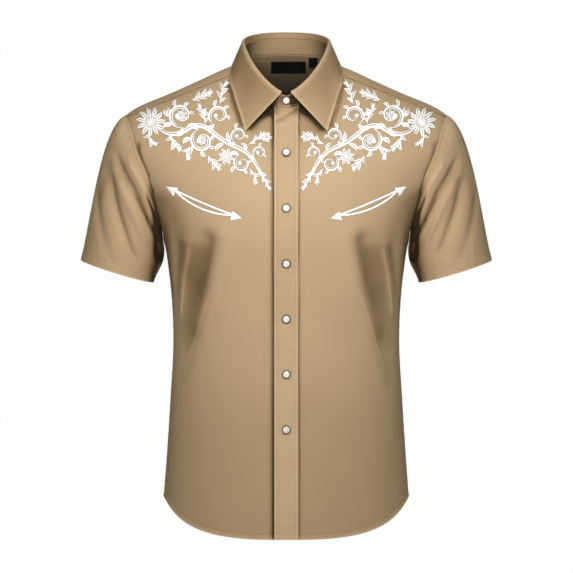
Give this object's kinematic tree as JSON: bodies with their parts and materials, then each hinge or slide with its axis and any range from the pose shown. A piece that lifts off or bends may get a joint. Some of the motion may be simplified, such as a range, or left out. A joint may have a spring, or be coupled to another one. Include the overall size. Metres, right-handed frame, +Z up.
{
  "type": "short sleeve western shirt",
  "caption": "Short sleeve western shirt, filled out as if worn, with a pointed collar, a snap placket, a back yoke and a curved shirt-tail hem.",
  "frame": {"origin": "midway between the two side neck points, where the wearer's shoulders carry the shirt", "axes": "+X towards the wearer's left, -Y out of the front, +Z up"},
  "size_m": [0.6158, 0.2566, 0.7612],
  "materials": {
    "tan_cloth": "smooth tan twill with a slight sheen",
    "pearl": "white pearl snap face",
    "snap_metal": "thin metal snap rim",
    "white_thread": "white satin embroidery thread",
    "black_label": "black woven label, bare"
  },
  "bodies": {
    "root": {"front_left": "tan_cloth", "front_right": "tan_cloth", "placket": "tan_cloth", "back": "tan_cloth", "yoke": "tan_cloth", "sleeve_left": "tan_cloth", "sleeve_right": "tan_cloth", "collar_stand": "tan_cloth", "collar_leaf": "tan_cloth", "snap_cup_1": "snap_metal", "snap_pearl_1": "pearl", "snap_cup_2": "snap_metal", "snap_pearl_2": "pearl", "snap_cup_3": "snap_metal", "snap_pearl_3": "pearl", "snap_cup_4": "snap_metal", "snap_pearl_4": "pearl", "snap_cup_5": "snap_metal", "snap_pearl_5": "pearl", "snap_cup_6": "snap_metal", "snap_pearl_6": "pearl", "snap_cup_7": "snap_metal", "snap_pearl_7": "pearl", "neck_label": "black_label", "size_tab": "black_label"}
  },
  "joints": []
}
